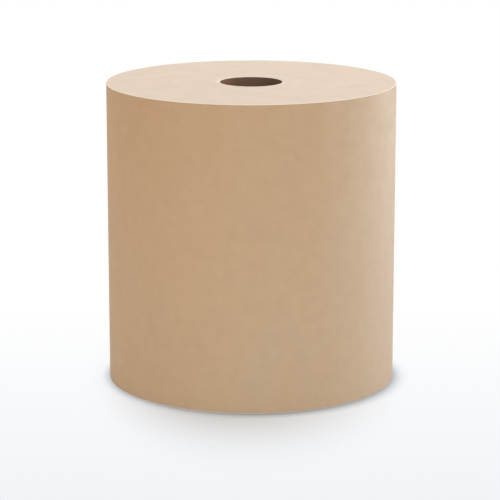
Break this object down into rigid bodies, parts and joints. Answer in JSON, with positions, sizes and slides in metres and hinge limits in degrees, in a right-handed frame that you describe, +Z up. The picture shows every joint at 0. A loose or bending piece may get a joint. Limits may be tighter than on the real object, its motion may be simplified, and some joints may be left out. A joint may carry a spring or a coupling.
{
  "type": "paper towel roll",
  "caption": "Hard-wound roll of plain brown paper towel on a paperboard core, standing on its end; the core's through-hole takes a dispenser's hub.",
  "frame": {"origin": "centre of the lower end, on the roll's axis, on the surface that the roll stands on", "axes": "+Z up along the roll's axis; the loose end of the sheet lies at the back, on +Y; -Y is the front"},
  "size_m": [0.1917, 0.1918, 0.2],
  "materials": {
    "brown_paper": "matte",
    "core_board": "matte"
  },
  "bodies": {
    "root": {"wound_paper": "brown_paper", "core_tube": "core_board"}
  },
  "joints": []
}
